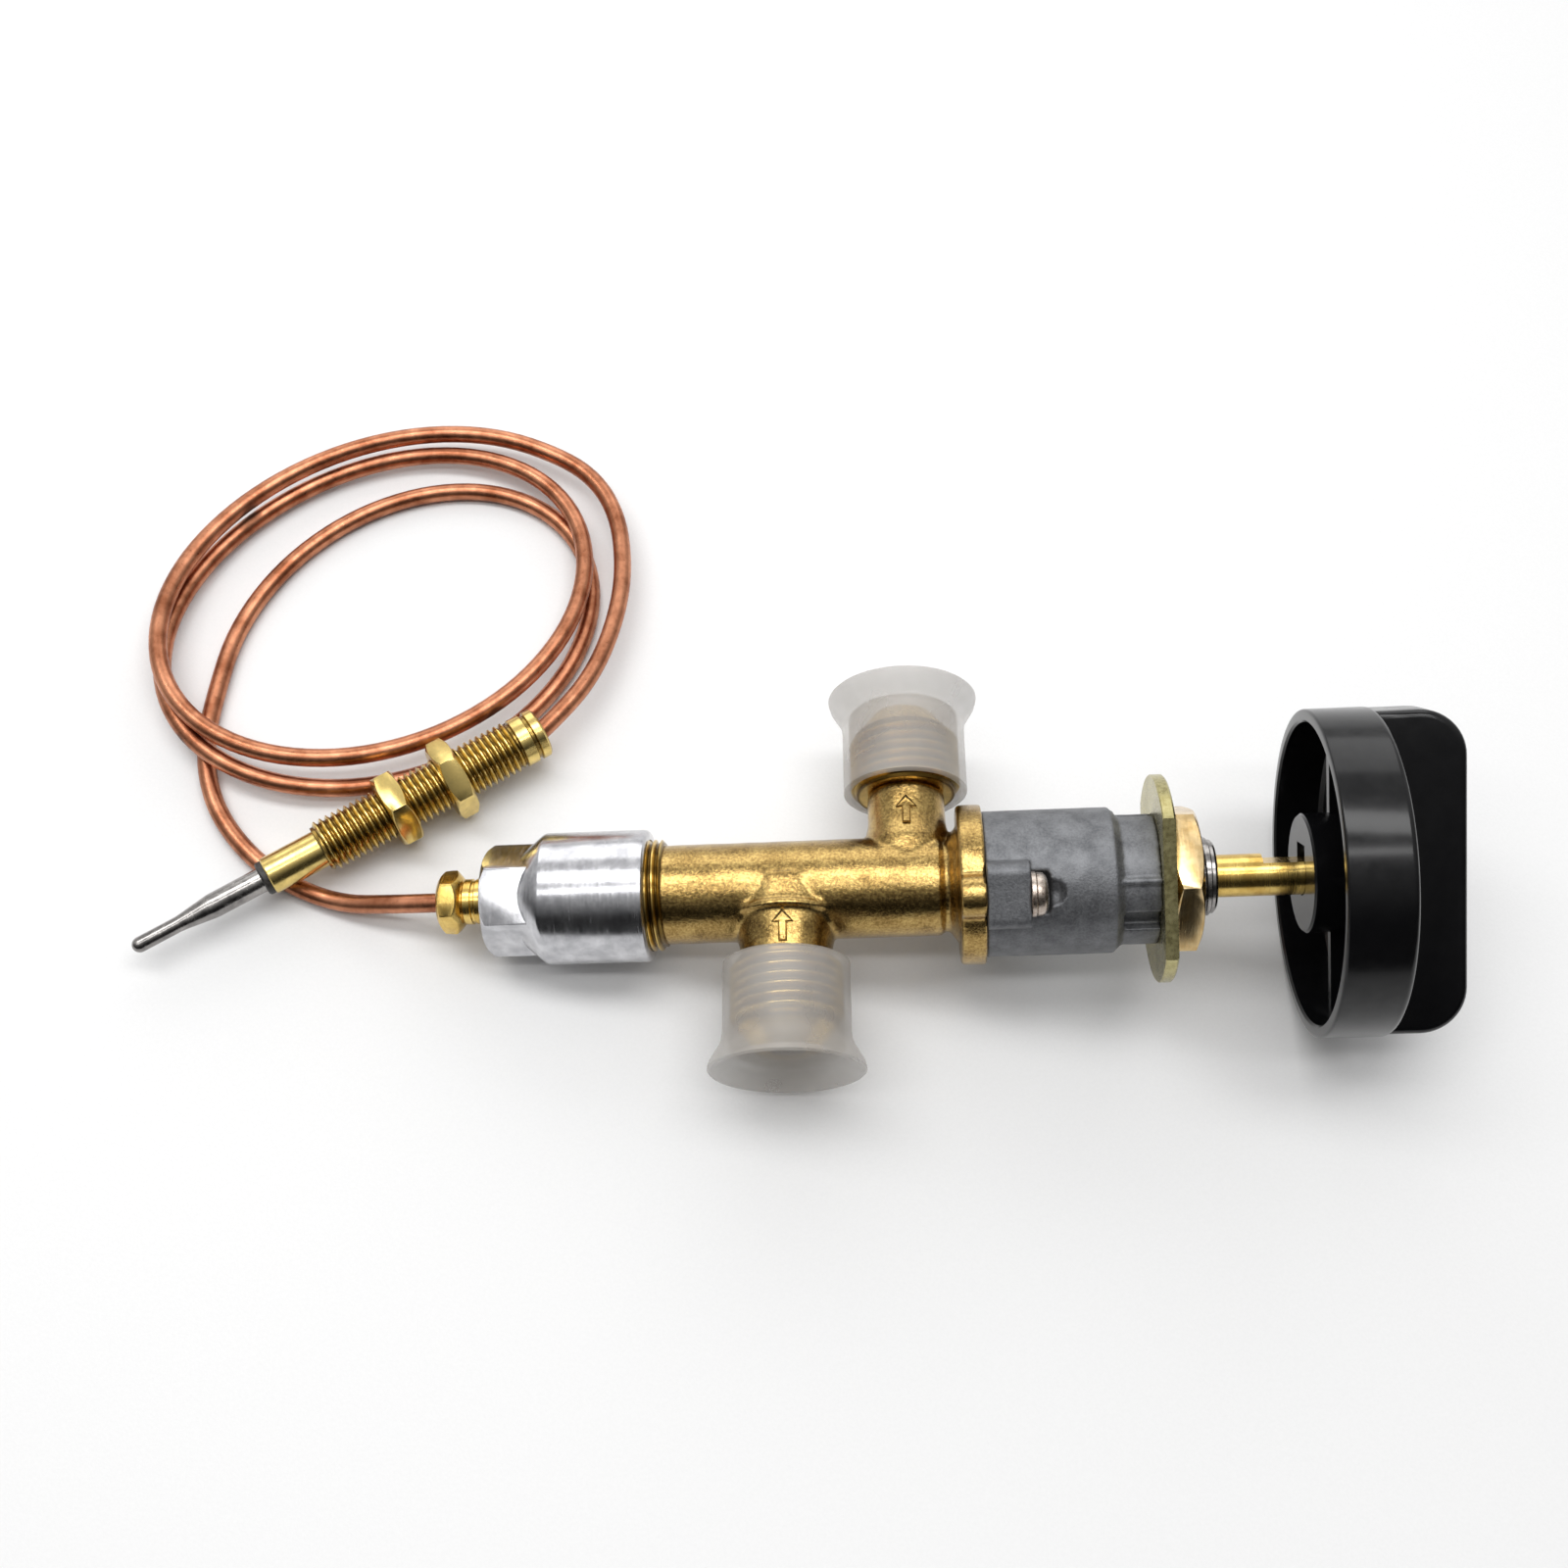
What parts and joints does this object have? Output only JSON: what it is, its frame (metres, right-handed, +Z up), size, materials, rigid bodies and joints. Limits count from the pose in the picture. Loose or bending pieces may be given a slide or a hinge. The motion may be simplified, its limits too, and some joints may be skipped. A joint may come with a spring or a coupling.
{
  "type": "gas valve",
  "caption": "Flame-failure gas valve with side flare ports under soft caps, push-and-turn knob, magnet unit and coiled thermocouple lead with threaded probe.",
  "frame": {"origin": "on the spindle axis, in the front face of the housing that meets the panel", "axes": "+X along the spindle towards the knob, +Y towards the outlet port, +Z up"},
  "size_m": [0.1913, 0.1138, 0.046],
  "materials": {
    "brass_forged": "tumbled forging, satin",
    "brass_turned": "bright turned",
    "zinc_cast": "matt zinc die casting",
    "zinc_yellow": "yellow zinc plate",
    "nut_gold": "bright yellow plate",
    "aluminium_bright": "bright turned",
    "steel_bright": "polished",
    "screw_steel": "passivated",
    "spring_steel": "drawn wire",
    "core_iron": "ground",
    "copper_lead": "drawn copper, satin",
    "winding_copper": "enamelled",
    "rubber_black": "moulded",
    "knob_plastic": "gloss moulded",
    "cap_plastic": "milky, translucent",
    "insulator": "pressed ring"
  },
  "bodies": {
    "valve": {"valve_body": "brass_forged", "front_housing": "zinc_cast", "housing_gasket": "rubber_black", "housing_screw_upper": "screw_steel", "housing_screw_lower": "screw_steel", "screw_washer_upper": "screw_steel", "screw_washer_lower": "screw_steel", "panel_washer": "zinc_yellow", "panel_nut": "nut_gold", "rear_cap_nut": "aluminium_bright", "magnet_housing": "brass_turned", "magnet_seal": "rubber_black", "magnet_core": "core_iron", "magnet_winding": "winding_copper", "magnet_terminal": "brass_turned", "terminal_insulator": "insulator", "safety_spring": "spring_steel", "lead_nut": "brass_turned", "lead_contact": "copper_lead", "lead_start": "copper_lead", "lead_coil": "copper_lead", "lead_end": "copper_lead", "probe_sleeve": "brass_turned", "sleeve_nut_rear": "brass_turned", "sleeve_nut_front": "brass_turned", "insulator_ring": "insulator", "probe": "steel_bright"},
    "plug": {"tapered_plug": "brass_turned", "spindle_spring": "spring_steel"},
    "spindle": {"spindle": "brass_turned", "spindle_ring_seal": "rubber_black", "stop_pin": "steel_bright", "push_rod": "steel_bright", "knob": "knob_plastic", "knob_clip": "spring_steel"},
    "armature": {"armature_plate": "core_iron", "armature_stem": "steel_bright", "safety_disc": "rubber_black", "disc_cup": "steel_bright"},
    "inlet_cap": {"inlet_cap": "cap_plastic"},
    "outlet_cap": {"outlet_cap": "cap_plastic"}
  },
  "joints": [
    {"name": "knob_turn", "type": "hinge", "parent": "valve", "child": "plug", "pos_m": [-0.0343, 0, 0], "axis": [1, 0, 0], "range_deg": [0, 180]},
    {"name": "spindle_push", "type": "slide", "parent": "plug", "child": "spindle", "axis": [-1, 0, 0], "range_m": [0, 0.004], "stiffness_N_per_m": 1200, "springref_m": -0.002, "deforming": ["spindle_spring"]},
    {"name": "armature_slide", "type": "slide", "parent": "valve", "child": "armature", "axis": [-1, 0, 0], "range_m": [0, 0.004], "deforming": ["safety_spring"]},
    {"name": "inlet_cap_pull", "type": "slide", "parent": "valve", "child": "inlet_cap", "axis": [0, -1, 0], "range_m": [0, 0.018]},
    {"name": "outlet_cap_pull", "type": "slide", "parent": "valve", "child": "outlet_cap", "axis": [0, 1, 0], "range_m": [0, 0.018]}
  ],
  "couplings": [
    {"joint": "armature_slide", "follows": "spindle_push", "ratio": 1}
  ]
}
